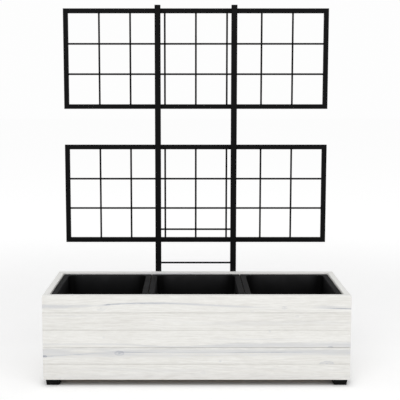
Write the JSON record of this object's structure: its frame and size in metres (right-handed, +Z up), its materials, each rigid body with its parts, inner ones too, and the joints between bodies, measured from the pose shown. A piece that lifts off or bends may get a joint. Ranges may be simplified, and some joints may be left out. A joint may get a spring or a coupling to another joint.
{
  "type": "planter with trellis",
  "caption": "Low timber-board planter trough on feet, with lift-out plastic liners and a black rod-and-tube trellis on posts bolted to its back.",
  "frame": {"origin": "on the ground under the middle of the whole object", "axes": "+Z up, front of the trough towards -Y, +X along its length to the right as seen from the front"},
  "size_m": [1.2, 0.4772, 1.514],
  "materials": {
    "whitewashed_timber": "whitewashed softwood boards, satin",
    "inner_timber": "plain sawn softwood",
    "black_powder_coat": "fine-textured matt black powder coat on steel tube and rod",
    "liner_plastic": "moulded black plastic, satin",
    "foot_plastic": "moulded black plastic, matt",
    "cap_plastic": "moulded black plastic, matt",
    "zinc_plate": "zinc-plated steel",
    "black_fasteners": "blackened steel"
  },
  "bodies": {
    "trough_and_trellis": {"back_batten_left": "inner_timber", "back_batten_right": "inner_timber", "back_bearer": "inner_timber", "back_board_1": "whitewashed_timber", "back_board_2": "whitewashed_timber", "back_board_3": "whitewashed_timber", "back_board_4": "whitewashed_timber", "back_board_5": "whitewashed_timber", "corner_post_back_left": "inner_timber", "corner_post_back_right": "inner_timber", "corner_post_front_left": "inner_timber", "corner_post_front_right": "inner_timber", "floor_panel_left": "inner_timber", "floor_panel_middle": "inner_timber", "floor_panel_right": "inner_timber", "foot_back_left": "foot_plastic", "foot_back_right": "foot_plastic", "foot_front_left": "foot_plastic", "foot_front_right": "foot_plastic", "front_batten_left": "inner_timber", "front_batten_right": "inner_timber", "front_bearer": "inner_timber", "front_board_1": "whitewashed_timber", "front_board_2": "whitewashed_timber", "front_board_3": "whitewashed_timber", "front_board_4": "whitewashed_timber", "front_board_5": "whitewashed_timber", "ladder_rungs": "black_powder_coat", "left_board_1": "whitewashed_timber", "left_board_2": "whitewashed_timber", "left_board_3": "whitewashed_timber", "left_board_4": "whitewashed_timber", "left_board_5": "whitewashed_timber", "lower_panel_bottom_bar": "black_powder_coat", "lower_panel_horizontal_rods": "black_powder_coat", "lower_panel_left_bar": "black_powder_coat", "lower_panel_right_bar": "black_powder_coat", "lower_panel_top_bar": "black_powder_coat", "lower_panel_vertical_rods": "black_powder_coat", "panel_screws": "black_fasteners", "post_bolts": "zinc_plate", "post_cap_nuts": "black_fasteners", "post_end_caps": "cap_plastic", "right_board_1": "whitewashed_timber", "right_board_2": "whitewashed_timber", "right_board_3": "whitewashed_timber", "right_board_4": "whitewashed_timber", "right_board_5": "whitewashed_timber", "trellis_post_left": "black_powder_coat", "trellis_post_right": "black_powder_coat", "upper_panel_bottom_bar": "black_powder_coat", "upper_panel_horizontal_rods": "black_powder_coat", "upper_panel_left_bar": "black_powder_coat", "upper_panel_right_bar": "black_powder_coat", "upper_panel_top_bar": "black_powder_coat", "upper_panel_vertical_rods": "black_powder_coat", "wood_screws": "zinc_plate"},
    "left_liner": {"liner_left": "liner_plastic"},
    "middle_liner": {"liner_middle": "liner_plastic"},
    "right_liner": {"liner_right": "liner_plastic"}
  },
  "joints": [
    {"name": "left_liner_lift", "type": "slide", "parent": "trough_and_trellis", "child": "left_liner", "axis": [0, 0, 1], "range_m": [0, 0.3]},
    {"name": "middle_liner_lift", "type": "slide", "parent": "trough_and_trellis", "child": "middle_liner", "axis": [0, 0, 1], "range_m": [0, 0.3]},
    {"name": "right_liner_lift", "type": "slide", "parent": "trough_and_trellis", "child": "right_liner", "axis": [0, 0, 1], "range_m": [0, 0.3]}
  ]
}
